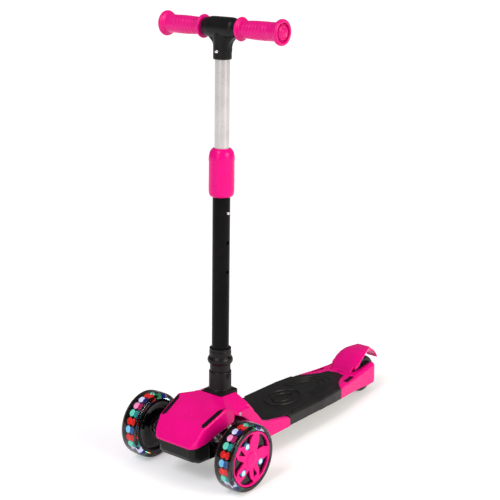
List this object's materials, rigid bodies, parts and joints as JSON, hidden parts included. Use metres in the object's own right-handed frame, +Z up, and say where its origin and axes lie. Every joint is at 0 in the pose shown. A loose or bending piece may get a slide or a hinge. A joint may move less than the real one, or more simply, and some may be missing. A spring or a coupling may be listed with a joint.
{
  "type": "kick scooter",
  "caption": "Child's three-wheeled lean-to-steer kick scooter with a height-adjustable T-bar, light-up front wheels, moulded deck and rear fender brake.",
  "frame": {"origin": "on the ground, under the middle of the scooter's overall width and length", "axes": "+Z up, the rider faces -Y, +X is the rider's left"},
  "size_m": [0.2588, 0.614, 0.7881],
  "materials": {
    "pink_gloss": "smooth moulded pink plastic",
    "grip_pink": "soft pink grip rubber",
    "black_plastic": "fine textured black plastic",
    "deck_black": "textured non-slip black plastic",
    "tyre_clear": "smoky transparent polyurethane",
    "tyre_black": "smooth black polyurethane",
    "black_paint": "satin black powder coat",
    "silver": "satin anodised aluminium",
    "chrome": "polished",
    "steel": "zinc plated",
    "cast": "as cast",
    "spring_steel": "spring wire",
    "light_lens": "milky light lens",
    "copper": "lacquered winding wire",
    "magnet": "ferrite magnet"
  },
  "bodies": {
    "frame": {"deck": "deck_black", "nose_tray": "black_plastic", "nose_cover": "pink_gloss", "rear_cover": "pink_gloss", "steering_bridge": "cast", "kingpins": "steel", "steer_springs": "spring_steel", "bridge_bolts": "steel", "cover_screws": "steel", "steering_socket": "black_plastic", "socket_bolt": "steel", "foot_collar": "black_plastic", "outer_tube": "black_paint", "clamp_collar": "pink_gloss", "stem_bush": "black_plastic", "release_spring": "spring_steel", "rear_axle": "steel", "rear_nut": "steel", "rear_spacers": "steel", "brake_pin": "steel", "brake_spring": "spring_steel"},
    "handlebar": {"stem_tube": "silver", "t_joint": "black_plastic", "cross_tube": "silver", "grip_left": "grip_pink", "grip_right": "grip_pink", "grip_plugs": "grip_pink", "tee_spring": "spring_steel", "height_spring": "spring_steel"},
    "height_button": {"height_button": "chrome"},
    "release_button": {"release_button": "black_plastic"},
    "tee_button": {"tee_button": "chrome"},
    "tie_rod": {"tie_rod": "steel"},
    "rear_wheel": {"rear_wheel_core": "black_plastic", "rear_tyre": "tyre_black", "rear_bearings": "steel"},
    "brake": {"brake_fender": "pink_gloss", "brake_plate": "steel"},
    "knuckle_left": {"knuckle_left": "black_plastic", "front_axle_left": "steel", "magnet_sleeve_left": "magnet"},
    "wheel_left": {"wheel_core_left": "black_plastic", "hub_dish_left": "black_plastic", "wheel_tyre_left": "tyre_clear", "tread_lights_left": "light_lens", "wheel_cover_left": "pink_gloss", "rim_lights_left": "light_lens", "wheel_bearings_left": "steel", "light_coil_left": "copper"},
    "knuckle_right": {"knuckle_right": "black_plastic", "front_axle_right": "steel", "magnet_sleeve_right": "magnet"},
    "wheel_right": {"wheel_core_right": "black_plastic", "hub_dish_right": "black_plastic", "wheel_tyre_right": "tyre_clear", "tread_lights_right": "light_lens", "wheel_cover_right": "pink_gloss", "rim_lights_right": "light_lens", "wheel_bearings_right": "steel", "light_coil_right": "copper"}
  },
  "joints": [
    {"name": "steer_left", "type": "hinge", "parent": "frame", "child": "knuckle_left", "pos_m": [0.044, -0.233, 0.064], "axis": [0, -0.6157, 0.788], "range_deg": [-18, 18], "stiffness_Nm_per_rad": 8},
    {"name": "steer_right", "type": "hinge", "parent": "frame", "child": "knuckle_right", "pos_m": [-0.044, -0.233, 0.064], "axis": [0, -0.6157, 0.788], "range_deg": [-18, 18], "stiffness_Nm_per_rad": 8},
    {"name": "tie_rod_pivot", "type": "hinge", "parent": "knuckle_left", "child": "tie_rod", "pos_m": [0.044, -0.2133, 0.08751], "axis": [0, -0.6157, 0.788], "range_deg": [-18, 18]},
    {"name": "wheel_left_spin", "type": "hinge", "parent": "knuckle_left", "child": "wheel_left", "pos_m": [0.1085, -0.247, 0.06], "axis": [1, 0, 0], "continuous": true},
    {"name": "wheel_right_spin", "type": "hinge", "parent": "knuckle_right", "child": "wheel_right", "pos_m": [-0.1085, -0.247, 0.06], "axis": [1, 0, 0], "continuous": true},
    {"name": "rear_wheel_spin", "type": "hinge", "parent": "frame", "child": "rear_wheel", "pos_m": [0, 0.241, 0.038], "axis": [1, 0, 0], "continuous": true},
    {"name": "height_slide", "type": "slide", "parent": "frame", "child": "handlebar", "axis": [0, 0.0209, 0.9998], "range_m": [-0.104, 0], "deforming": ["height_button", "height_spring"]},
    {"name": "height_button_press", "type": "slide", "parent": "handlebar", "child": "height_button", "axis": [-1, 0, 0], "range_m": [0, 0.004], "stiffness_N_per_m": 900, "springref_m": -0.004},
    {"name": "release_button_press", "type": "slide", "parent": "frame", "child": "release_button", "axis": [-1, 0, 0], "range_m": [0, 0.004], "stiffness_N_per_m": 900, "springref_m": -0.004, "deforming": ["release_spring"]},
    {"name": "tee_button_press", "type": "slide", "parent": "handlebar", "child": "tee_button", "axis": [0, 0.9998, -0.0209], "range_m": [0, 0.004], "stiffness_N_per_m": 900, "springref_m": -0.004, "deforming": ["tee_spring"]},
    {"name": "brake_press", "type": "hinge", "parent": "frame", "child": "brake", "pos_m": [0, 0.1935, 0.048], "axis": [1, 0, 0], "range_deg": [-4.5, 0], "stiffness_Nm_per_rad": 3, "springref_deg": 8.59}
  ],
  "couplings": [
    {"joint": "steer_right", "follows": "steer_left", "ratio": 1},
    {"joint": "tie_rod_pivot", "follows": "steer_left", "ratio": -1}
  ]
}
